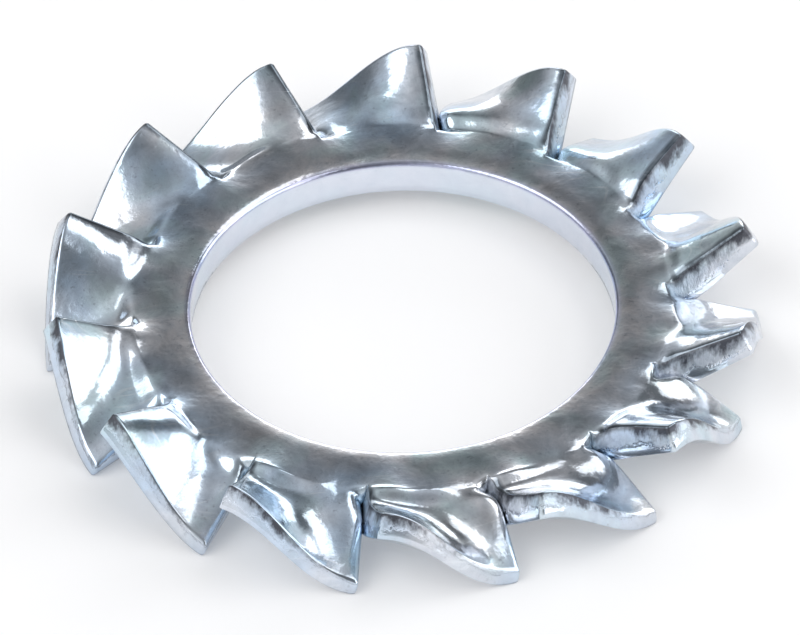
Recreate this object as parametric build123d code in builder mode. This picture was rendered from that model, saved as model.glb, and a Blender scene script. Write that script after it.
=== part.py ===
from build123d import *
from math import cos, pi, radians, sin
import os

# Toothed lock washer for an M8 screw: one flat ring of spring steel whose outer rim is
# slit into teeth, and every tooth is twisted out of the ring's plane. Seen from above
# and going anticlockwise, a tooth stands high at one slit, falls in a soft S and ends
# low at the next slit, so its high cut edge bites into the nut and its low one into
# the work.
#
# Frame: millimetres and degrees, +Z up, the origin on the bore axis at the height of
# the surface that the low corners of the teeth stand on, the first slit on +X.

# Ring
bore_radius = 4.2       # clearance hole for M8
slit_end_radius = 5.2   # the ring is whole as far out as this, where the slits end
root_radius = 5.3       # the teeth start to bend here
sheet = 0.8             # thickness of the strip that the washer is blanked from

# Teeth
tooth_count = 14
tooth_reach = 1.75      # plan length of a tooth, from its root to its rim
skew = 9.4              # the twist carries each line along a tooth this far off radial
lean = 15.0             # lean of the cut faces in the slits, from upright
die_roll = 0.16         # round of the upper edge that the shear drags down at a low slit
edge_break = 0.06       # bevel that tumbling leaves on the other upper edges of a tooth
                        # and on both mouths of the bore

# The rim of a tooth: its upper and lower edges both swing through half a cosine wave,
# from their highest point at one slit to their lowest at the next.
upper_swing = 0.86      # swing of the upper edge, above and below the ring's upper face
lower_swing = 0.80      # swing of the lower edge, about its mean height
rim_depth = 0.36        # mean height of the lower edge under the ring's upper face
overhang_high = 0.29    # the lower edge stands out past the upper by this at the high slit
overhang_low = 0.06     # and by this at the low slit

# Bend at the root of a tooth, as shares of its plan length
bend_start = 0.16       # corner that the bend is drawn round
bend_blend = 0.35       # how far past that corner the bend runs out

section_count = 5       # sections that a tooth is lofted through
stub = 0.5              # level length of tooth, trimmed to the ring before they join

pitch = 360 / tooth_count
ring_top = lower_swing + rim_depth
upright_share = cos(radians(lean))  # rise in height along one unit of a leaning line


def strip_plane(share):
    """Leaning plane of one section of a tooth: share 0 is its high slit, 1 its low one."""
    azimuth = radians(share * pitch)
    heading = azimuth + radians(skew)
    along = Vector(cos(heading), sin(heading), 0)
    across = Vector(-sin(heading), cos(heading), 0)
    root = Vector(root_radius * cos(azimuth), root_radius * sin(azimuth), ring_top)
    facing = Vector(0, 0, sin(radians(lean))) - across * cos(radians(lean))
    return Plane(origin=root, x_dir=along, z_dir=facing)


def bent_edge(root_height, rim_reach, rim_height):
    """Edge of a section from root to rim: level, then a tight bend, then straight."""
    root = Vector(0, root_height / upright_share)
    corner = root + Vector(bend_start * rim_reach, 0)
    rim = Vector(rim_reach, rim_height / upright_share)
    Bezier(root, corner, corner + (rim - corner) * bend_blend, rim)
    return root, rim


def upper_edges(part):
    """Upper edges of a tooth without the one at its root: rim last, slits from low to high."""
    upper_face = part.faces().sort_by(SortBy.AREA)[-2:].sort_by(Axis.Z)[-1]
    return upper_face.edges().sort_by(SortBy.DISTANCE)[1:]


# One tooth, lofted from its high slit to its low slit
with BuildPart() as tooth:
    for section in range(section_count):
        share = section / (section_count - 1)
        wave = cos(pi * share)
        overhang = overhang_high + (overhang_low - overhang_high) * share
        with BuildSketch(strip_plane(share)):
            with BuildLine():
                upper_root, upper_rim = bent_edge(
                    0, tooth_reach - overhang / 2, upper_swing * wave
                )
                lower_root, lower_rim = bent_edge(
                    -sheet, tooth_reach + overhang / 2, lower_swing * wave - rim_depth
                )
                Line(upper_rim, lower_rim)
                Polyline(
                    upper_root,
                    upper_root - Vector(stub, 0),
                    lower_root - Vector(stub, 0),
                    lower_root,
                )
            make_face()
    loft()
    # The stub is trimmed to the ring's outer wall, so that the two meet face to face
    Cylinder(radius=slit_end_radius, height=4 * ring_top, mode=Mode.SUBTRACT)
    chamfer(upper_edges(tooth)[1:], length=edge_break)
    fillet(upper_edges(tooth)[0], radius=die_roll)

# The washer: the ring with its teeth
with BuildPart() as lock_washer:
    with BuildSketch(Plane.XY.offset(ring_top - sheet)):
        Circle(radius=slit_end_radius)
        Circle(radius=bore_radius, mode=Mode.SUBTRACT)
    extrude(amount=sheet)
    bore_mouths = lock_washer.edges().filter_by(GeomType.CIRCLE).sort_by(SortBy.RADIUS)[:2]
    chamfer(bore_mouths, length=edge_break)
    with PolarLocations(0, tooth_count):
        add(tooth.part)

lock_washer.part.label = "lock_washer"
os.makedirs("parts", exist_ok=True)
export_step(lock_washer.part, "parts/lock_washer.step")
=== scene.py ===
# %% [markdown]
# # A toothed lock washer
#
# This washer goes under a nut. It is one flat ring of spring steel whose outer rim is slit into fourteen
# teeth, and a press has twisted each tooth out of the ring's plane. One corner of a tooth bites up into
# the nut and the other bites down into the work, so the nut can't shake loose.
#
# The CAD model already holds its true size. Here it is dressed: the same form is made again as a finer
# net of faces, with worn edges and small differences between the teeth, and it gets its bright zinc
# plate. A mirror-like metal shows every facet of a coarse mesh, so the net is fine where the metal bends.

# %% Load the frame
from math import cos, pi, radians, sin, sqrt, tan

import bmesh
import bpy
from mathutils import Matrix, Vector


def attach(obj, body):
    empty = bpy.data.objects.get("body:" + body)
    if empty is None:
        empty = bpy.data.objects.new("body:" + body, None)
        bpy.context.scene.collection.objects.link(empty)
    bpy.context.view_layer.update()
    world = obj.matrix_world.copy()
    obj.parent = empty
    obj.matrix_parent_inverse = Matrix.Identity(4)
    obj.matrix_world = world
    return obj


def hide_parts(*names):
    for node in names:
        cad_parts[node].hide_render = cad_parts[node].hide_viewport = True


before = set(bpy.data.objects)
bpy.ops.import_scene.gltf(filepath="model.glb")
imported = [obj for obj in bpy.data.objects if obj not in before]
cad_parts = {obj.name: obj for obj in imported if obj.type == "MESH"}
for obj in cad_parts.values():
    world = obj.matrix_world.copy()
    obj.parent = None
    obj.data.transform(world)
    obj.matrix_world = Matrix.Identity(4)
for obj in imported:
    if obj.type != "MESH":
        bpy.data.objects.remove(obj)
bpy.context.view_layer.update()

# %% [markdown]
# ## The sizes
#
# All shapes are worked out in millimetres and turned to metres at the end. The sizes are the CAD model's.
# A point of a tooth is described by three numbers: its share across the tooth, 0 at the high slit and 1 at
# the low one, its distance from the bore's axis, and its height in the sheet, from lower face to upper.

# %% Sizes in millimetres and degrees
MM = 0.001
bore_radius = 4.2
slit_end_radius = 5.2
root_radius = 5.3
sheet = 0.8
tooth_count = 14
pitch = 360 / tooth_count
tooth_reach = 1.75
rim_radius = root_radius + tooth_reach
skew = 9.4
lean = 15.0
upper_swing = 0.86
lower_swing = 0.80
rim_depth = 0.36
overhang_high = 0.29
overhang_low = 0.06
bend_start = 0.16
bend_blend = 0.35
ring_top = lower_swing + rim_depth
print("one tooth every", round(pitch, 2), "degrees, upper face of the ring at", round(ring_top, 2), "mm")

# %% [markdown]
# ## The flat blank of one tooth
#
# On the real washer a punch cuts the blank out of strip. Here the blank of one tooth and its share of the
# ring starts as a cube, stretched so that x is the share across, y the distance from the bore's axis and z
# the height. Planes then score it, as a cook scores a cake. Scoring is chosen over a plain grid because
# the lines can lie close together where an edge will be rounded and far apart where the face is flat.

# %% Score lines that later spread evenly round an edge
def lines_at_edge(radius, steps):
    """Distances from an edge at which lines take equal turns round it, once it is rounded."""
    return [radius * (1 - tan(radians(45 * step / steps))) for step in range(steps)]


print("lines at an edge of 0.1 mm:", [round(line, 3) for line in lines_at_edge(0.1, 4)])

# %% The score lines, in millimetres from each edge
low_round = 0.1     # round of a tooth's upper edge at its low slit
edge_round = 0.08   # round of the other upper edges that tumbling wears
rim_round = 0.06    # round of the rim
under_round = 0.03  # round of the lower edges
mean_width = radians(pitch) * (root_radius + rim_radius) / 2
rim_speed = 3 * (1 - bend_start) * (1 - bend_blend)  # real length per unit of y where the tooth ends

# Across: closer towards both slits, and even over the middle, which is given as a share of the width
roll_edge = 0.16
middle_start, middle_end, middle_steps = 0.14, 0.82, 18
middle_gap = (middle_end - middle_start) / middle_steps
from_high = [0.3, 0.24, 0.18, 0.13] + lines_at_edge(edge_round, 4)
from_low = [0.42, 0.36, 0.3, 0.24, 0.19] + lines_at_edge(roll_edge, 6)
middle_lines = [middle_start + middle_gap * step for step in range(middle_steps + 1)]
high_lines = [line / mean_width for line in from_high]
low_lines = [1 - line / mean_width for line in from_low]
across_lines = high_lines + middle_lines + low_lines

# Out: close at the end of the slit, where the ring begins to bend, and even along the tooth
bore_lines = [bore_radius + line for line in [0.14] + lines_at_edge(edge_round, 4)]
ring_lines = [4.5, 4.68, 4.86, 5.04, 5.12] + [slit_end_radius + 0.04 * step for step in range(6)]
tooth_lines = [5.46 + 0.09 * step for step in range(17)]
rim_lines = [rim_radius - line / rim_speed for line in [0.1] + lines_at_edge(rim_round, 3)]
out_lines = bore_lines + ring_lines + tooth_lines + rim_lines

# Up: the lower edges are sharper than the upper ones
up_lines = lines_at_edge(under_round, 2) + [0.2, 0.4, 0.55]
up_lines += [sheet - line for line in [0.16, 0.12] + lines_at_edge(edge_round, 3)]
print("score lines across, out and up:", len(across_lines), len(out_lines), len(up_lines))

# %% Score the blank
blank = bmesh.new()
bmesh.ops.create_cube(blank, size=1)
bmesh.ops.translate(blank, vec=(0.5, 0.5, 0.5), verts=blank.verts)
bmesh.ops.scale(blank, vec=(1, rim_radius - bore_radius, sheet), verts=blank.verts)
bmesh.ops.translate(blank, vec=(0, bore_radius, 0), verts=blank.verts)
for axis, lines in enumerate((across_lines, out_lines, up_lines)):
    normal = Vector([float(axis == way) for way in range(3)])
    for line in lines:
        skin = blank.verts[:] + blank.edges[:] + blank.faces[:]
        bmesh.ops.bisect_plane(blank, geom=skin, plane_co=normal * line, plane_no=normal)
print("faces on the scored blank:", len(blank.faces))

# %% [markdown]
# ## The slits
#
# The slit is sheared, so no metal leaves it: the two walls of a slit touch until the twist parts them.
# Inside the slits' end the ring is whole. So the side walls of the blank are deleted there and kept
# further out, where they become the cut faces of the tooth.

# %% Open the sides of the blank where the ring is whole
inner_sides = [
    face for face in blank.faces
    if abs(face.normal.x) > 0.5 and face.calc_center_median().y < slit_end_radius
]
bmesh.ops.delete(blank, geom=inner_sides, context="FACES")
print("faces left after the ring's sides are opened:", len(blank.faces))

# %% [markdown]
# ## The twist
#
# The press holds the ring flat and drives a toothed die into the rim. Each line that runs out along the
# tooth stays level at its root, turns in a tight bend and runs straight to the rim. How high it ends goes
# from its highest at one slit to its lowest at the next as half a cosine wave, which gives the soft S.
#
# A lattice or a simple deform could twist the net too, but neither bends a tooth tightly at its root. So
# the bend is written as the curve that a draughtsman would draw, a Bezier with four points, once for the
# upper face and once for the lower. Both faces then meet the CAD model's, because they share its sizes.

# %% One line of a tooth
def ramp(start, end, value):
    """Soft step from 0 at start to 1 at end."""
    share = min(max((value - start) / (end - start), 0), 1)
    return share * share * (3 - 2 * share)


def bend(start_height, reach, end_height, out):
    """Point of a bent line, as distance along and height, at the share out of the way to the rim."""
    start = Vector((0, start_height))
    corner = start + Vector((bend_start * reach, 0))
    end = Vector((reach, end_height))
    leaving = corner + (end - corner) * bend_blend
    stay = 1 - out
    return stay**3 * start + 3 * stay**2 * out * corner + 3 * stay * out**2 * leaving + out**3 * end


def faces_of_line(share, radius):
    """Points of the lower and upper face of a tooth, where a line across it is this far out."""
    out = max(0, (radius - root_radius) / tooth_reach)
    wave = cos(pi * share)
    overhang = overhang_high + (overhang_low - overhang_high) * share
    lower = bend(-sheet, tooth_reach + overhang / 2, lower_swing * wave - rim_depth, out)
    upper = bend(0, tooth_reach - overhang / 2, upper_swing * wave, out)
    return lower, upper


for name, share in (("high", 0), ("low", 1)):
    lower, upper = faces_of_line(share, rim_radius)
    print("rim at the", name, "slit in mm: from", round(lower.y, 2), "to", round(upper.y, 2))

# %% The point where the press leaves a point of the blank
lean_start = bore_radius + 0.2  # the walls of the slits lean, and the ring inside this doesn't


def pressed(share, radius, height, lift=0, drop=0):
    """Place of a point of the blank after the press, lifted, and with its upper face dropped."""
    lower, upper = faces_of_line(share, radius)
    along, up = lower.lerp(upper, height / sheet)
    up += lift - drop * height * (upper - lower).length / sheet**2
    azimuth = radians(share * pitch)
    heading = azimuth + radians(skew)
    sideways = up * tan(radians(lean)) * ramp(lean_start, slit_end_radius, radius)
    inner = min(radius, root_radius)
    return Vector((
        inner * cos(azimuth) + along * cos(heading) - sideways * sin(heading),
        inner * sin(azimuth) + along * sin(heading) + sideways * cos(heading),
        ring_top + up,
    ))


print("high corner of a tooth, in mm:", [round(value, 2) for value in pressed(0, rim_radius, sheet)])
print("low corner of a tooth, in mm:", [round(value, 2) for value in pressed(1, rim_radius, 0)])

# %% [markdown]
# ## Worn edges
#
# No edge of the real washer is knife sharp, because the plated washers tumble against each other in a
# barrel. A bevel could round the edges, but its strips would be cut off square where a slit ends. Here
# each point near an edge is pulled onto a round whose radius fades to nothing at the end of the slit, so
# the skin of the ring runs on unbroken.

# %% Round the edges of the blank
round_growth = 0.4  # past the end of a slit, a round grows to its full size over this length
side_fade = (0.2, 0.5)   # distances from a side between which its round leaves the upper edge
end_fade = (0.1, 0.35)   # and the same from the bore or the rim


def worn(share, radius, height):
    """The point of the blank after wear, given as share across, radius and height."""
    lower, upper = faces_of_line(share, radius)
    width = radians(pitch) * radius
    thick = (upper - lower).length
    slit = ramp(slit_end_radius, slit_end_radius + round_growth, radius)
    high, low = share * width, (1 - share) * width
    bore, rim = radius - bore_radius, (rim_radius - radius) * rim_speed
    under, over = height / sheet * thick, (1 - height / sheet) * thick

    side = (low_round if share > 0.5 else edge_round) * slit
    end = edge_round if bore < rim else rim_round
    near_side = 1 - ramp(*side_fade, min(high, low))
    near_end = 1 - ramp(*end_fade, min(bore, rim))
    top = max(side * near_side, end * near_end)

    pulls = []
    for edge, before, behind in (
        (side, high, low),
        (end, bore, rim),
        (top if over < under else min(top, under_round), under, over),
    ):
        pull = max(edge - max(min(before, behind), 0), 0)
        pulls.append((pull if behind < before else -pull, pull / edge if pull else 0))
    turn = sqrt(sum(part**2 for _, part in pulls))
    keep = 1 / turn - 1 if turn else 0
    across, out, up = (pull * keep for pull, _ in pulls)
    speed = 1 if bore < rim else rim_speed
    return share + across / width, radius + out / speed, height + up * sheet / thick


print("upper corner at the rim after wear:", [round(value, 3) for value in worn(0, rim_radius, sheet)])

# %% [markdown]
# ## Die rolls
#
# Where a punch or a shear enters the sheet, it drags the upper skin down before the metal parts. That
# leaves a broad round, the die roll: a slight one at the mouth of the bore, and a deep one along the low
# slit of each tooth, because the shear pushed that side down. It is deepest at the root, where the tooth
# dives under its neighbour's raised edge, and it is what catches the lamps there as a bright spot. The CAD
# model has a plain round of 0.16 mm there, so this is where the dressed washer departs most from it, by up
# to 0.3 mm.

# %% How far the upper face sinks in its die rolls
mouth_width = 0.4   # width and depth of the roll at the mouth of the bore
mouth_drop = 0.06
low_width = 0.42    # width and depth of the roll at a low slit
low_drop = 0.24
high_width = 0.3    # width and depth of the shoulder at the root of a high slit
high_drop = 0.12
roll_growth = 0.3   # past the end of a slit, a roll grows to its full depth over this length
root_end = 5.5      # the extra depth at the root begins to fade here
root_fade = 0.7     # and is gone this much further out


def rolled(distance, width):
    """How far a round of this width has fallen at a distance from its edge, from 0 to 1."""
    return 1 - sqrt(1 - max(0, 1 - distance / width)**2)


def sunk(share, radius):
    """Depth of the die rolls at this point of the upper face."""
    width = radians(pitch) * radius
    mouth = max(0, 1 - (radius - bore_radius) / mouth_width)**2
    slit = ramp(slit_end_radius, slit_end_radius + roll_growth, radius)
    by_root = 1 - ramp(root_end, root_end + root_fade, radius)
    low = rolled((1 - share) * width, low_width) * (1 + by_root)
    high = rolled(share * width, high_width) * by_root
    return mouth_drop * mouth + (low_drop * low + high_drop * high) * slit


print("die roll in mm at the root and at the rim:",
      round(sunk(1, root_end), 2), round(sunk(1, rim_radius), 2))

# %% [markdown]
# ## The ring gives a little
#
# The ring is clamped while the teeth are twisted, but its outer part bends along with them a little. So a
# shallow wave runs round it, up beside each high slit and down beside each low one. It grows from nothing
# to the roots of the teeth and dies out in them. Without it a hard line would run along the roots. How
# deep it is on a real washer isn't known, so its 0.06 mm, like the fold's, is a guess.

# %% The wave of the ring, and the fold at the end of a slit
wave_height = 0.06
wave_start = 4.4
wave_end = 6.3
second_wave = 0.4   # share of a wave of half the length, which makes it steeper beside the slits
fold_height = 0.06  # the two sides of a slit part by twice this just past its end
fold_width = 0.4
fold_growth = 0.25
fold_end = 5.5
fold_fade = 0.8


def wave(share, radius):
    """Height of the ring's wave."""
    if radius < wave_start:
        return 0
    if radius < root_radius:
        reach = ((radius - wave_start) / (root_radius - wave_start))**2
    else:
        past = min((radius - root_radius) / (wave_end - root_radius), 1)
        slope = 2 * (wave_end - root_radius) / (root_radius - wave_start)
        reach = (1 - past)**2 * (1 + (2 + slope) * past)
    return wave_height * reach * (sin(2 * pi * share) + second_wave * sin(4 * pi * share))


def fold(share, radius):
    """Height of the fold beside the end of a slit: up at the high slit and down at the low one."""
    width = radians(pitch) * radius
    high, low = 1 - ramp(0, fold_width, share * width), 1 - ramp(0, fold_width, (1 - share) * width)
    along = ramp(slit_end_radius, slit_end_radius + fold_growth, radius)
    along *= 1 - ramp(fold_end, fold_end + fold_fade, radius)
    return fold_height * along * (high - low)


print("wave and fold at a quarter of the root, in mm:", round(wave(0.25, root_radius), 3),
      round(fold(0.02, fold_end), 3))

# %% [markdown]
# ## Fourteen teeth, no two the same
#
# The die twists all the teeth alike, but hardened steel springs back by a little more or less in each, and
# a mirror finish makes a tenth of a millimetre plain to see. Random numbers could vary the teeth, but then
# no one could say which tooth does what. So each row below belongs to one tooth, in order anticlockwise
# from +X, and gives six small amounts in millimetres: the crest and the hollow of its rim, and the swing,
# bow, crown and sway of its middle, each of which is one simple bulge of the face. Together they move no
# point of a tooth by more than a quarter of the sheet, so the washer keeps the CAD model's form.
#
# None of these amounts was measured on a washer, and they don't tell how far hardened teeth spring back.
# They were found by trial and by computer fits, over and over, until the white and dark parts of each
# tooth fell about where they were wanted, and the largest were then scaled down to that quarter. So they
# belong to the lamps and the room below, which are guessed too, and make up in part for what is wrong
# with those. Under other lamps they only make the teeth differ. Real teeth may differ in another way.

# %% Spring-back of each tooth
# Crest, hollow, swing, bow, crown and sway. Fitted to a wanted look, not measured.
spring_back = (
    (-0.028, 0.032, 0.082, 0.0, -0.05, 0.11),
    (-0.041, 0.041, 0.095, 0.099, 0.05, 0.012),
    (0.039, 0.049, -0.01, 0.161, -0.039, -0.029),
    (0.05, 0.048, 0.125, 0.005, 0.045, 0.0),
    (0.008, 0.056, 0.073, -0.057, -0.057, 0.069),
    (-0.012, 0.058, 0.125, -0.05, -0.015, -0.01),
    (-0.029, 0.0, 0.12, 0.0, 0.0, 0.065),
    (-0.012, 0.007, 0.046, -0.058, -0.13, 0.0),
    (0.009, 0.079, 0.072, -0.014, 0.046, 0.153),
    (-0.002, 0.012, -0.052, -0.085, -0.033, -0.049),
    (-0.037, -0.013, -0.139, 0.02, -0.158, -0.004),
    (-0.039, 0.039, -0.085, -0.065, 0.02, 0.005),
    (-0.021, -0.01, 0.019, 0.166, -0.19, 0.109),
    (-0.05, 0.028, 0.105, -0.015, -0.055, 0.055),
)
corner_wear = 0.015  # height that the biting corners have lost
bulge_start = 0.35   # share of a tooth over which its middle bulges set in, so that no crease shows


def own_shift(share, out, tooth):
    """The part of the shift that is this tooth's own, at this share out from its root to its rim."""
    crest, hollow, swing, bow, crown, sway = spring_back[tooth]
    rim = crest * sin(pi * share) - hollow * sin(2 * pi * share)
    middle = swing * cos(pi * share) + bow + crown * sin(pi * share) + sway * sin(2 * pi * share)
    return rim * out**1.5 + middle * sin(pi * out) * ramp(0, bulge_start, out)


def raised(share, radius, tooth):
    """How far this point of a tooth ends above where the die put it."""
    out = min(max((radius - root_radius) / tooth_reach, 0), 1)
    corner = corner_wear * out * (1 - ramp(0, fold_width, share * radians(pitch) * radius))
    return own_shift(share, out, tooth) + wave(share, radius) + fold(share, radius) - corner


steps = [step / 20 for step in range(21)]
shifts = [
    abs(own_shift(share, out, tooth))
    for tooth in range(tooth_count) for share in steps for out in steps
]
print("largest shift of any tooth's own, in mm:", round(max(shifts), 2))

# %% [markdown]
# ## Press, turn and join the teeth
#
# The blank is copied, worn and pressed once for each tooth, and turned to its place. The teeth share only
# the ring's inner part, so only the points there are merged. Merging everything would also weld the two
# walls of a slit where they touch.
#
# Each corner of a face also keeps its place on the flat blank, and a mark that says whether the face is a
# sheared wall. Steel is torn and plate is rubbed where the blank was cut, so the finish needs both.

# %% Press one tooth
def pressed_tooth(tooth):
    """A copy of the blank as the finished tooth, in its place round the ring."""
    one = blank.copy()
    place = one.loops.layers.float_vector.new("blank")
    sheared = one.loops.layers.float.new("sheared")
    inside = one.verts.layers.int.new("inside")
    for face in one.faces:
        upright = abs(face.normal.z) < 0.5 and face.calc_center_median().y > slit_end_radius
        for loop in face.loops:
            loop[place] = loop.vert.co
            loop[sheared] = float(upright)
    for vert in one.verts:
        vert[inside] = vert.co.y < slit_end_radius + MM
        share, radius, height = worn(*vert.co)
        vert.co = pressed(share, radius, height, raised(share, radius, tooth), sunk(share, radius))
    turn = Matrix.Rotation(radians(tooth * pitch), 4, "Z")
    bmesh.ops.transform(one, matrix=turn, verts=one.verts)
    return one


print("one pressed tooth has", len(pressed_tooth(0).verts), "points")

# %% Join the teeth
touching = 0.0005  # mm between points of neighbouring teeth that count as one
washer_net = bmesh.new()
for tooth in range(tooth_count):
    one = pressed_tooth(tooth)
    one_mesh = bpy.data.meshes.new("pressed_tooth")
    one.to_mesh(one_mesh)
    one.free()
    washer_net.from_mesh(one_mesh)
    bpy.data.meshes.remove(one_mesh)
blank.free()

inside = washer_net.verts.layers.int["inside"]
ring_verts = [vert for vert in washer_net.verts if vert[inside]]
bmesh.ops.remove_doubles(washer_net, verts=ring_verts, dist=touching)
bmesh.ops.recalc_face_normals(washer_net, faces=washer_net.faces)
bmesh.ops.scale(washer_net, vec=(MM, MM, MM), verts=washer_net.verts)
for face in washer_net.faces:
    face.smooth = True
open_edges = sum(len(edge.link_faces) != 2 for edge in washer_net.edges)
print("faces:", len(washer_net.faces), "edges without two faces:", open_edges)

# %% Hang the washer on the frame
washer_mesh = bpy.data.meshes.new("toothed_washer")
washer_net.to_mesh(washer_mesh)
washer_net.free()
washer = bpy.data.objects.new("toothed_washer", washer_mesh)
bpy.context.scene.collection.objects.link(washer)
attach(washer, "root")
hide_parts("lock_washer")
print("the washer rides on the root body and stands for the CAD node lock_washer")

# %% [markdown]
# ## Bright zinc plate on spring steel
#
# The steel is barrel plated: hundreds of washers tumble in a bath while a current lays about 5 micrometres
# of zinc on them, and a last dip leaves the thin clear-blue film of bright zinc. To the eye that is a cold
# mirror a little softer than chrome, tinted grey and teal in patches, with clouds, specks and hairline
# scratches where washers knocked together. An image of plate could be wrapped round the washer, but
# patterns worked out by nodes stay sharp at any distance and have no seams.
#
# Zinc is a metal, so the shader's Metallic is 1 and its index of refraction stays at the default. Its
# roughness is near 0.1. Nodes take colours as linear light, so one function turns hex codes into that.

# %% Colours
def linear(code):
    """An sRGB hex colour as linear red, green, blue and alpha."""
    parts = [int(code[at:at + 2], 16) / 255 for at in (1, 3, 5)]
    return [part / 12.92 if part <= 0.04045 else ((part + 0.055) / 1.055)**2.4 for part in parts] + [1]


print("middle grey in linear light:", round(linear("#808080")[0], 3))

# %% Nodes
def add_node(tree, kind, settings=None, links=None):
    """Add a node, set its properties or sockets by name, and link its inputs."""
    node = tree.nodes.new(kind)
    for name, value in (settings or {}).items():
        if isinstance(name, str) and name in node.bl_rna.properties:
            setattr(node, name, value)
        else:
            node.inputs[name].default_value = value
    for name, source in (links or {}).items():
        if isinstance(source, bpy.types.Node):
            source = next(output for output in source.outputs if output.enabled)
        tree.links.new(source, node.inputs[name])
    return node


def new_material(name):
    """A material with an empty tree of nodes."""
    material = bpy.data.materials.new(name)
    material.use_nodes = True
    material.node_tree.nodes.clear()
    return material, material.node_tree


zinc, tree = new_material("bright_zinc_plate_on_spring_steel")
print("material:", zinc.name)

# %% [markdown]
# ## Where on the washer a pattern is
#
# Most patterns are read in millimetres of the washer's own space, so that they run on unbroken from face
# to face. Wear and tearing follow the blank instead, so they read the place that each corner of a face
# kept from it: x is the share across the tooth, y the distance from the axis, z the height in the sheet.

# %% Places on the washer and on its blank
place = add_node(tree, "ShaderNodeTexCoord")
in_mm = add_node(tree, "ShaderNodeVectorMath", {"operation": "SCALE", "Scale": 1 / MM},
                 {0: place.outputs["Object"]})
blank_place = add_node(tree, "ShaderNodeAttribute", {"attribute_name": "blank"})
on_blank = add_node(tree, "ShaderNodeSeparateXYZ", links={0: blank_place.outputs["Vector"]})
share_across, out_radius, up_sheet = (on_blank.outputs[axis] for axis in "XYZ")
sheared_wall = add_node(tree, "ShaderNodeAttribute", {"attribute_name": "sheared"}).outputs["Fac"]
print("nodes that say where:", len(tree.nodes))

# %% [markdown]
# ## Tints of the plate
#
# The blue film is thinner than a wavelength of light, so its tint shifts where it is thicker or thinner,
# over a millimetre or two: cold blue and grey, teal in drifts, and a violet line on the mouth of the bore,
# where the current in the bath was strongest. Round the bore the ring is a little warmer. Noise is used
# for the drifts, because they have no direction and never repeat.

# %% Tints of the plate
tint_size = 2.0     # mm, patches of blue and grey
warm_size = 1.1     # mm, ragged outer edge of the warm part of the ring
teal_size = 1.25    # mm, teal drifts

tints = add_node(tree, "ShaderNodeTexNoise", {"Scale": 1 / tint_size, "Detail": 2.0}, {"Vector": in_mm})
tints = add_node(tree, "ShaderNodeMapRange", {"From Min": 0.38, "From Max": 0.62}, {"Value": tints})
colour = add_node(tree, "ShaderNodeMix", {
    "data_type": "RGBA", 6: linear("#c2d7ed"), 7: linear("#dde0e6")}, {"Factor": tints})

warmth = add_node(tree, "ShaderNodeTexNoise", {"Scale": 1 / warm_size, "Detail": 2.0}, {"Vector": in_mm})
warmth = add_node(tree, "ShaderNodeMath", {"operation": "MULTIPLY_ADD", 1: 1.2}, {0: warmth, 2: out_radius})
warmth = add_node(tree, "ShaderNodeMapRange", {
    "From Min": 4.9, "From Max": 5.7, "To Min": 0.8, "To Max": 0.0}, {"Value": warmth})
colour = add_node(tree, "ShaderNodeMix", {"data_type": "RGBA", 7: linear("#e3dedd")},
                  {"Factor": warmth, 6: colour})

teal = add_node(tree, "ShaderNodeTexNoise", {"Scale": 1 / teal_size, "Detail": 2.0, "Distortion": 0.3},
                {"Vector": in_mm})
teal = add_node(tree, "ShaderNodeMapRange", {
    "From Min": 0.48, "From Max": 0.68, "To Min": 0.0, "To Max": 0.6}, {"Value": teal})
colour = add_node(tree, "ShaderNodeMix", {"data_type": "RGBA", 7: linear("#c2dfe2")},
                  {"Factor": teal, 6: colour})

near_bore = add_node(tree, "ShaderNodeMapRange", {
    "From Min": 4.22, "From Max": 4.34, "To Min": 0.55, "To Max": 0.0}, {"Value": out_radius})
near_top = add_node(tree, "ShaderNodeMapRange", {"From Min": 0.66, "From Max": 0.76}, {"Value": up_sheet})
violet = add_node(tree, "ShaderNodeMath", {"operation": "MULTIPLY"}, {0: near_bore, 1: near_top})
colour = add_node(tree, "ShaderNodeMix", {"data_type": "RGBA", 7: linear("#a5a9e0")},
                  {"Factor": violet, 6: colour})
print("nodes with the tints:", len(tree.nodes))

# %% [markdown]
# ## Painted shade on the raised edges
#
# The high edge of each tooth is given a line of painted shade about 0.15 mm wide, with a ragged inner
# border. It stands in for the dark that the rounded edge reflects and the shadow in the gap beside it,
# not for worn plate. It starts past the root, and it is painted by the share across the tooth, so it follows
# the edge.

# %% Painted shade on the raised edges
shade_line_ragged = 0.5   # mm, the raggedness of the line of painted shade

shade_line_noise = add_node(tree, "ShaderNodeTexNoise", {"Scale": 1 / shade_line_ragged, "Detail": 3.0},
                      {"Vector": in_mm})
shade_line_reach = add_node(tree, "ShaderNodeMath", {"operation": "MULTIPLY_ADD", 1: 0.05, 2: -0.025},
                      {0: shade_line_noise})
shade_line_reach = add_node(tree, "ShaderNodeMath", {"operation": "ADD"}, {0: shade_line_reach, 1: share_across})
painted_edge_shade = add_node(tree, "ShaderNodeMapRange", {
    "From Min": 0.035, "From Max": 0.065, "To Min": 0.9, "To Max": 0.0}, {"Value": shade_line_reach})
shade_past_root = add_node(tree, "ShaderNodeMapRange", {"From Min": 5.3, "From Max": 5.6}, {"Value": out_radius})
painted_edge_shade = add_node(tree, "ShaderNodeMath", {"operation": "MULTIPLY"}, {0: painted_edge_shade, 1: shade_past_root})
painted_edge_shade = add_node(tree, "ShaderNodeMath", {"operation": "MULTIPLY"}, {0: painted_edge_shade, 1: near_top})
# Painted shade: a dark grey line along the raised edges, in place of the dark reflection and shadow there
colour = add_node(tree, "ShaderNodeMix", {"data_type": "RGBA", 7: linear("#4c565f")},
                  {"Factor": painted_edge_shade, 6: colour})
print("nodes with the painted edge shade:", len(tree.nodes))

# %% [markdown]
# ## Clouds, mottling and specks
#
# The strip was rolled and hardened before it was plated, so the mirror is not quite flat. It has soft
# clouds a millimetre wide and a mottle of a third of that. Dust and hydrogen bubbles in the bath leave
# specks of about 0.02 mm. Those are too fine to show, so they are drawn about five times coarser.

# %% Clouds, mottling and specks
cloud_size = 1.1    # mm
mottle_size = 0.38  # mm
speck_size = 0.1    # mm, coarser than the real ones so that they show

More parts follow.
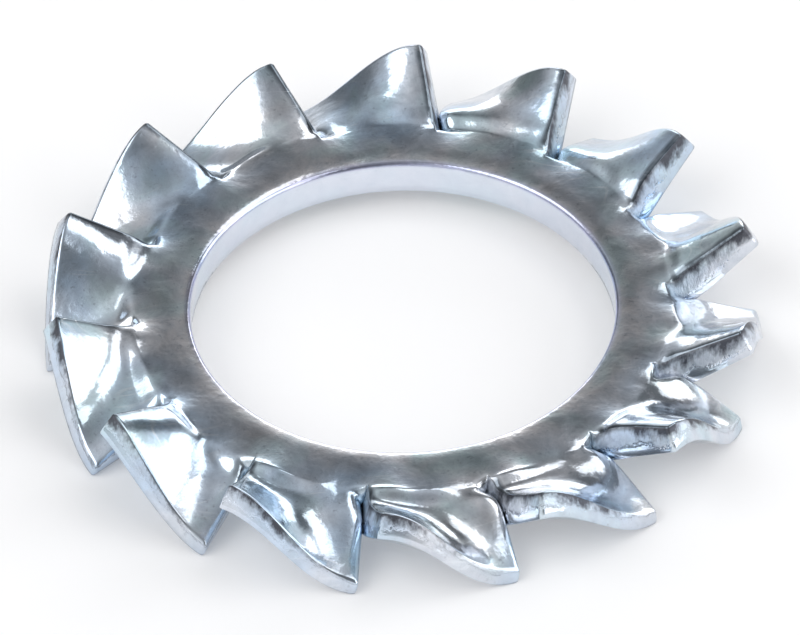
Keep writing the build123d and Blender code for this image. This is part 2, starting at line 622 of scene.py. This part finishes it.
clouds = add_node(tree, "ShaderNodeTexNoise", {"Scale": 1 / cloud_size, "Detail": 3.0, "Distortion": 0.4},
                  {"Vector": in_mm})
mottle = add_node(tree, "ShaderNodeTexNoise", {"Scale": 1 / mottle_size, "Detail": 4.0, "Roughness": 0.6},
                  {"Vector": in_mm})
specks = add_node(tree, "ShaderNodeTexNoise", {"Scale": 1 / speck_size, "Detail": 3.0, "Roughness": 0.6},
                  {"Vector": in_mm})
dull = add_node(tree, "ShaderNodeMapRange", {
    "From Min": 0.35, "From Max": 0.7, "To Min": 0.0, "To Max": 0.55}, {"Value": mottle})
colour = add_node(tree, "ShaderNodeMix", {"data_type": "RGBA", 7: linear("#a3adb8")},
                  {"Factor": dull, 6: colour})
dots = add_node(tree, "ShaderNodeMapRange", {
    "From Min": 0.60, "From Max": 0.72, "To Min": 0.0, "To Max": 0.4}, {"Value": specks})
colour = add_node(tree, "ShaderNodeMix", {"data_type": "RGBA", 7: linear("#8a939d")},
                  {"Factor": dots, 6: colour})
print("nodes with the clouds and specks:", len(tree.nodes))

# %% [markdown]
# ## Hairline scratches
#
# Tumbling also leaves hairline scratches in every direction. A noise stretched to five times its width has
# long level lines, and the places where it passes through its middle value make thin lines of that kind.
# Three of them, turned to different directions, cross as real scratches do. The clouds let them show only
# in places. A real one is about 0.01 mm wide, and so are these where the noise is steep. Where it is flat
# they come out wider, which is as coarse as they have to be to show at all.

# %% Hairline scratches
scratch_length = 4.0    # mm
scratch_spacing = 0.8   # mm
scratch_width = 0.006   # band of the noise's values that counts as a scratch

scratches = None
for turn in (20, -35, 80):
    turned = add_node(tree, "ShaderNodeMapping", {
        "Rotation": (0, 0, radians(turn)),
        "Scale": (1 / scratch_length, 1 / scratch_spacing, 1 / scratch_spacing)}, {"Vector": in_mm})
    lines = add_node(tree, "ShaderNodeTexNoise", {"Scale": 1.0, "Detail": 0.0}, {"Vector": turned})
    lines = add_node(tree, "ShaderNodeMath", {"operation": "COMPARE", 1: 0.5, 2: scratch_width}, {0: lines})
    scratches = lines if scratches is None else add_node(
        tree, "ShaderNodeMath", {"operation": "MAXIMUM"}, {0: scratches, 1: lines})
shown = add_node(tree, "ShaderNodeMapRange", {
    "From Min": 0.5, "From Max": 0.65, "To Min": 0.0, "To Max": 0.3}, {"Value": clouds})
scratches = add_node(tree, "ShaderNodeMath", {"operation": "MULTIPLY"}, {0: scratches, 1: shown})
colour = add_node(tree, "ShaderNodeMix", {"data_type": "RGBA", 7: linear("#eef2f6")},
                  {"Factor": scratches, 6: colour})
print("nodes with the scratches:", len(tree.nodes))

# %% [markdown]
# ## Burnished and torn walls
#
# A shear first pushes the metal down along a smooth wall, and then the rest tears. So a cut wall has two
# zones. One is burnished bright and pale, as is the whole wall of the bore. The other is torn, dark and
# pitted, with a ragged border between them. The tear reaches deepest near the high corner of a tooth. Its
# real grain is about 0.05 mm, which would be a flat grey here, so the pits are drawn as patches of 0.2 to
# 0.6 mm, drawn out a little along the way the metal tore.

# %% Burnished walls
bore_wall = add_node(tree, "ShaderNodeMapRange", {
    "From Min": 4.205, "From Max": 4.215, "To Min": 1.0, "To Max": 0.0}, {"Value": out_radius})
below_top = add_node(tree, "ShaderNodeMapRange", {
    "From Min": 0.70, "From Max": 0.76, "To Min": 1.0, "To Max": 0.0}, {"Value": up_sheet})
bore_wall = add_node(tree, "ShaderNodeMath", {"operation": "MULTIPLY"}, {0: bore_wall, 1: below_top})
bright = add_node(tree, "ShaderNodeMath", {"operation": "MULTIPLY", 1: 0.3}, {0: sheared_wall})
bright = add_node(tree, "ShaderNodeMath", {"operation": "MAXIMUM"}, {0: bore_wall, 1: bright})
bright = add_node(tree, "ShaderNodeMath", {"operation": "MULTIPLY", 1: 0.75}, {0: bright})
colour = add_node(tree, "ShaderNodeMix", {"data_type": "RGBA", 7: linear("#e4ebf7")},
                  {"Factor": bright, 6: colour})
print("nodes with the burnished walls:", len(tree.nodes))

# %% Torn metal
tear_size = 0.9     # mm, the ragged border of the tear
patch_size = 0.6    # mm
pit_size = 0.22     # mm

ragged = add_node(tree, "ShaderNodeTexNoise", {"Scale": 1 / tear_size, "Detail": 5.0, "Roughness": 0.7},
                  {"Vector": in_mm})
ragged = add_node(tree, "ShaderNodeMath", {"operation": "ADD"}, {0: ragged, 1: up_sheet})
ragged = add_node(tree, "ShaderNodeMath", {"operation": "MULTIPLY_ADD", 1: -0.35},
                  {0: share_across, 2: ragged})
torn = add_node(tree, "ShaderNodeMapRange", {"From Min": 0.76, "From Max": 0.90}, {"Value": ragged})
torn = add_node(tree, "ShaderNodeMath", {"operation": "MULTIPLY"}, {0: torn, 1: sheared_wall})

streaked = add_node(tree, "ShaderNodeVectorMath", {"operation": "MULTIPLY", 1: (1.0, 1.0, 0.4)}, {0: in_mm})
pits = add_node(tree, "ShaderNodeTexNoise", {"Scale": 1 / pit_size, "Detail": 5.0, "Roughness": 0.7},
                {"Vector": streaked})
patches = add_node(tree, "ShaderNodeTexNoise", {"Scale": 1 / patch_size, "Detail": 5.0, "Roughness": 0.75},
                   {"Vector": streaked})
patches = add_node(tree, "ShaderNodeMath", {"operation": "MULTIPLY_ADD", 1: 2.0}, {0: patches, 2: up_sheet})
patches = add_node(tree, "ShaderNodeMath", {"operation": "MULTIPLY_ADD", 1: -0.5},
                   {0: share_across, 2: patches})
patches = add_node(tree, "ShaderNodeMath", {"operation": "MULTIPLY_ADD", 1: 0.2},
                   {0: out_radius, 2: patches})
dark = add_node(tree, "ShaderNodeMapRange", {
    "From Min": 2.75, "From Max": 3.11, "To Min": 0.06, "To Max": 0.95}, {"Value": patches})
dark = add_node(tree, "ShaderNodeMath", {"operation": "MULTIPLY"}, {0: dark, 1: torn})
colour = add_node(tree, "ShaderNodeMix", {"data_type": "RGBA", 7: linear("#4a4b52")},
                  {"Factor": dark, 6: colour})
print("nodes with the torn metal:", len(tree.nodes))

# %% [markdown]
# ## Gloss and relief
#
# The plate's roughness is 0.09 where it is clearest and rises in the clouds and the mottle. Torn metal is
# rough, about 0.4. The same patterns raise the surface too, by hundredths and thousandths of a millimetre.
# On a mirror that is what bends the reflections into soft, uneven shapes. Real displacement would need a
# far finer net, so bump nodes tilt the light instead. They are chained from the broadest to the finest.

# %% Gloss
rough = add_node(tree, "ShaderNodeMapRange", {
    "From Min": 0.3, "From Max": 0.7, "To Min": 0.09, "To Max": 0.15}, {"Value": clouds})
more_rough = add_node(tree, "ShaderNodeMapRange", {
    "From Min": 0.45, "From Max": 0.75, "To Min": 0.0, "To Max": 0.08}, {"Value": mottle})
rough = add_node(tree, "ShaderNodeMath", {"operation": "ADD"}, {0: rough, 1: more_rough})
torn_rough = add_node(tree, "ShaderNodeMath", {"operation": "MULTIPLY", 1: 0.4}, {0: torn})
rough = add_node(tree, "ShaderNodeMath", {"operation": "MAXIMUM"}, {0: rough, 1: torn_rough})
print("nodes with the gloss:", len(tree.nodes))

# %% Relief
cloud_height = 0.03     # mm
mottle_height = 0.006
speck_height = 0.001
pit_height = 0.04

torn_pits = add_node(tree, "ShaderNodeMath", {"operation": "MULTIPLY"}, {0: pits, 1: torn})
relief = add_node(tree, "ShaderNodeBump", {"Distance": cloud_height * MM}, {"Height": clouds})
for height, pattern in ((mottle_height, mottle), (speck_height, specks), (pit_height, torn_pits)):
    relief = add_node(tree, "ShaderNodeBump", {"Distance": height * MM},
                      {"Height": pattern, "Normal": relief})
surface = add_node(tree, "ShaderNodeBsdfPrincipled", {"Metallic": 1.0},
                   {"Base Color": colour, "Roughness": rough, "Normal": relief})
add_node(tree, "ShaderNodeOutputMaterial", links={"Surface": surface})
washer.data.materials.append(zinc)
print("nodes in the finished plate:", len(tree.nodes))

# %% [markdown]
# ## The table
#
# The washer lies on white card under soft light. Card could be plain white, but a light shade keeps the
# soft grey shadow under the washer. The camera and the metal see the card a little brighter than the light
# makes it, through Light Path, so the background comes out white without more light on the washer.

# %% Table
card_glow = 0.18    # added where the camera or the metal sees the card
card_size = 1.2     # m, wide enough to fill the view from every side

bpy.ops.mesh.primitive_plane_add(size=card_size, location=(0, 0, 0))
table = bpy.context.object
table.name = "table"
card, tree = new_material("matt_white_card")
surface = add_node(tree, "ShaderNodeBsdfPrincipled", {"Base Color": linear("#e8e8e9"), "Roughness": 0.9})
ray = add_node(tree, "ShaderNodeLightPath")
seen = ray.outputs["Is Camera Ray"]
for other in ("Is Glossy Ray", "Is Transmission Ray"):
    seen = add_node(tree, "ShaderNodeMath", {"operation": "ADD", "use_clamp": True},
                    {0: seen, 1: ray.outputs[other]})
lift = add_node(tree, "ShaderNodeMath", {"operation": "MULTIPLY", 1: card_glow}, {0: seen})
glow = add_node(tree, "ShaderNodeEmission", links={"Strength": lift})
both = add_node(tree, "ShaderNodeAddShader", links={0: surface, 1: glow})
add_node(tree, "ShaderNodeOutputMaterial", links={"Surface": both})
table.data.materials.append(card)
print("the table's card has", len(tree.nodes), "nodes")

# %% [markdown]
# ## The camera
#
# A long lens from 165 mm away shows the washer with almost no perspective, as in a catalogue, from
# about 43 degrees above the table. The camera's three directions are worked out from its height, turn and
# roll, and put in its matrix as columns. Its x is right, its y up, and it looks along its own -z.

# %% Camera
view_height = radians(42.56)
view_turn = radians(-4.7)
view_roll = radians(-1.23)
view_distance = 165.0
aim_right = 0.057   # mm that the middle of the washer lies right of and above the view's own middle
aim_up = 0.29

back = Vector((cos(view_height) * sin(view_turn), -cos(view_height) * cos(view_turn), sin(view_height)))
level = Vector((cos(view_turn), sin(view_turn), 0))
above = back.cross(level)
right = level * cos(view_roll) + above * sin(view_roll)
up = above * cos(view_roll) - level * sin(view_roll)
eye = Vector((0, 0, ring_top)) + back * view_distance - right * aim_right - up * aim_up
lens = bpy.data.cameras.new("camera")
lens.sensor_width = 36
lens.lens = 376.1
lens.clip_start = 0.01
lens.clip_end = 10
camera = bpy.data.objects.new("camera", lens)
camera.matrix_world = Matrix((
    (right.x, up.x, back.x, eye.x * MM),
    (right.y, up.y, back.y, eye.y * MM),
    (right.z, up.z, back.z, eye.z * MM),
    (0, 0, 0, 1),
))
bpy.context.scene.collection.objects.link(camera)
bpy.context.scene.camera = camera
print("camera in mm:", [round(value, 1) for value in eye])

# %% [markdown]
# ## The lamps
#
# A mirror shows what stands round it, so its light is arranged as shapes. Each softbox is an area lamp,
# and the teeth turned its way show it as their white parts. Its glow is the brightness that the metal
# reflects: 1 is white and the plate keeps three quarters of it. Point lamps would give hard sparks.
#
# A place round the washer is given by its azimuth, 0 away from the camera and positive to the left, and
# by its height in degrees. The places, sizes and glows were found by trial, as the teeth's amounts were.

# %% Lamps
lamp_distance = 0.5  # m


def direction_to(azimuth, height):
    """Direction from the washer to a place round it."""
    turn = view_turn + radians(90 + azimuth)
    climb = radians(height)
    return Vector((cos(climb) * cos(turn), cos(climb) * sin(turn), sin(climb)))


def softbox(name, azimuth, height, width, tall, glow):
    """An area lamp that looks at the washer, with its sides in metres."""
    lamp = bpy.data.lights.new(name, "AREA")
    lamp.shape = "RECTANGLE"
    lamp.size = width
    lamp.size_y = tall
    lamp.energy = glow * pi * width * tall
    holder = bpy.data.objects.new(name, lamp)
    holder.location = direction_to(azimuth, height) * lamp_distance
    holder.rotation_euler = holder.location.to_track_quat("Z", "Y").to_euler()
    bpy.context.scene.collection.objects.link(holder)
    return holder


lamps = [
    softbox("right_softbox", -100, 22, 0.70, 0.38, 1.4),
    softbox("left_softbox", 108, 43, 0.54, 0.33, 1.45),
    softbox("small_softbox", -58, 58, 0.38, 0.20, 1.4),
    softbox("front_softbox", -128, 52, 0.15, 0.15, 1.4),
    softbox("back_softbox", -9, 10, 0.50, 0.24, 1.5),
]
print("power of the lamps in watts:", [round(lamp.data.energy, 2) for lamp in lamps])

# %% [markdown]
# ## The room
#
# The rest of what the metal shows is the room: a white room with darker parts, such as its ceiling and the
# camera. Those give the ring its grey and the teeth their dark sides. The world is a white sky with soft
# round patches. Each patch is painted by the angle between a direction and its middle, with its full shade
# within the first angle, fading to nothing at the second. The patches too were found by trial.

# %% World
room_patches = (
    ("left_low", 75, 5, 15, 55, "SMOOTHSTEP", "#cfcfd0"),
    ("overhead", 180, 78, 4, 34, "SMOOTHSTEP", "#a9a9aa"),
    ("facing", 6, 47, 0, 47, "LINEAR", "#6c6d6f"),
    ("behind", 205, 39, 8, 51, "SMOOTHSTEP", "#7b7c7d"),
    ("left", 50, 10, 10, 34, "SMOOTHSTEP", "#7c7d7e"),
    ("back_low", -8, 12, 8, 25, "SMOOTHSTEP", "#fcfcfc"),
    ("facing_right", -36, 36, 8, 24, "SMOOTHSTEP", "#727375"),
)

world = bpy.data.worlds.new("studio")
bpy.context.scene.world = world
world.use_nodes = True
tree = world.node_tree
tree.nodes.clear()
towards = add_node(tree, "ShaderNodeTexCoord").outputs["Generated"]
climb = add_node(tree, "ShaderNodeSeparateXYZ", links={0: towards}).outputs["Z"]
climb = add_node(tree, "ShaderNodeMapRange", {
    "interpolation_type": "SMOOTHSTEP", "From Min": sin(radians(8)), "From Max": sin(radians(38)),
}, {"Value": climb})
sky = add_node(tree, "ShaderNodeMix", {"data_type": "RGBA", 6: linear("#f6f6f6"), 7: linear("#f1f1f2")},
               {"Factor": climb})
for name, azimuth, height, inner, outer, interpolation, shade in room_patches:
    facing = add_node(tree, "ShaderNodeVectorMath", {
        "operation": "DOT_PRODUCT", 1: direction_to(azimuth, height)}, {0: towards})
    angle = add_node(tree, "ShaderNodeMath", {"operation": "ARCCOSINE"}, {0: facing.outputs["Value"]})
    patch = add_node(tree, "ShaderNodeMapRange", {
        "name": name, "interpolation_type": interpolation,
        "From Min": radians(outer), "From Max": radians(inner)}, {"Value": angle})
    sky = add_node(tree, "ShaderNodeMix", {"data_type": "RGBA", 7: linear(shade)}, {"Factor": patch, 6: sky})
background = add_node(tree, "ShaderNodeBackground", {"Strength": 1.0}, {"Color": sky})
add_node(tree, "ShaderNodeOutputWorld", links={"Surface": background})
print("patches in the room:", len(room_patches))

# %% [markdown]
# ## The end
#
# The Standard view shows colours as they are written.

# %% Colour, and the end
bpy.context.scene.view_settings.view_transform = "Standard"
